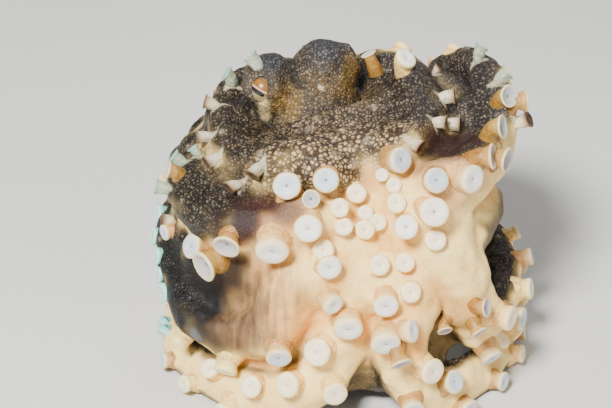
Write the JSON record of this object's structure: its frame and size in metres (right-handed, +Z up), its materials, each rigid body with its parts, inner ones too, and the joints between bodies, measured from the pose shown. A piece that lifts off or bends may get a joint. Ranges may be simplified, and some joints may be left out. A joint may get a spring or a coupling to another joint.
{
  "type": "coconut octopus",
  "caption": "Small reef octopus balled up with its arms curled back round its body, suckers outward, head raised; a still life-size display model",
  "frame": {"origin": "Midway along the width and depth of the whole animal, on the plane that it rests on", "axes": "+Z is up; the mouth and the sucker faces of the crown look toward -Y and a little up; +X is the animal's own left side, on the right as seen from the front; the node names left and l mean -X, right and r mean +X"},
  "size_m": [0.0964, 0.1104, 0.0757],
  "materials": {
    "mottled_skin": "satin",
    "oral_skin": "satin",
    "sucker_disc": "satin",
    "eye": "gloss"
  },
  "bodies": {
    "root": {"crown": "mottled_skin", "web_left": "mottled_skin", "web_right": "mottled_skin", "head": "mottled_skin", "mantle": "mottled_skin", "siphon": "mottled_skin", "eye_left": "eye", "eye_right": "eye", "arm_l1_inner": "mottled_skin", "arm_l1_outer": "mottled_skin", "arm_l2_inner": "mottled_skin", "arm_l2_outer": "mottled_skin", "arm_l3_inner": "mottled_skin", "arm_l3_outer": "mottled_skin", "arm_l4_inner": "mottled_skin", "arm_l4_outer": "mottled_skin", "arm_r1_inner": "mottled_skin", "arm_r1_outer": "mottled_skin", "arm_r2_inner": "mottled_skin", "arm_r2_outer": "mottled_skin", "arm_r3_inner": "mottled_skin", "arm_r3_outer": "mottled_skin", "arm_r4_inner": "mottled_skin", "arm_r4_outer": "mottled_skin"}
  },
  "joints": []
}
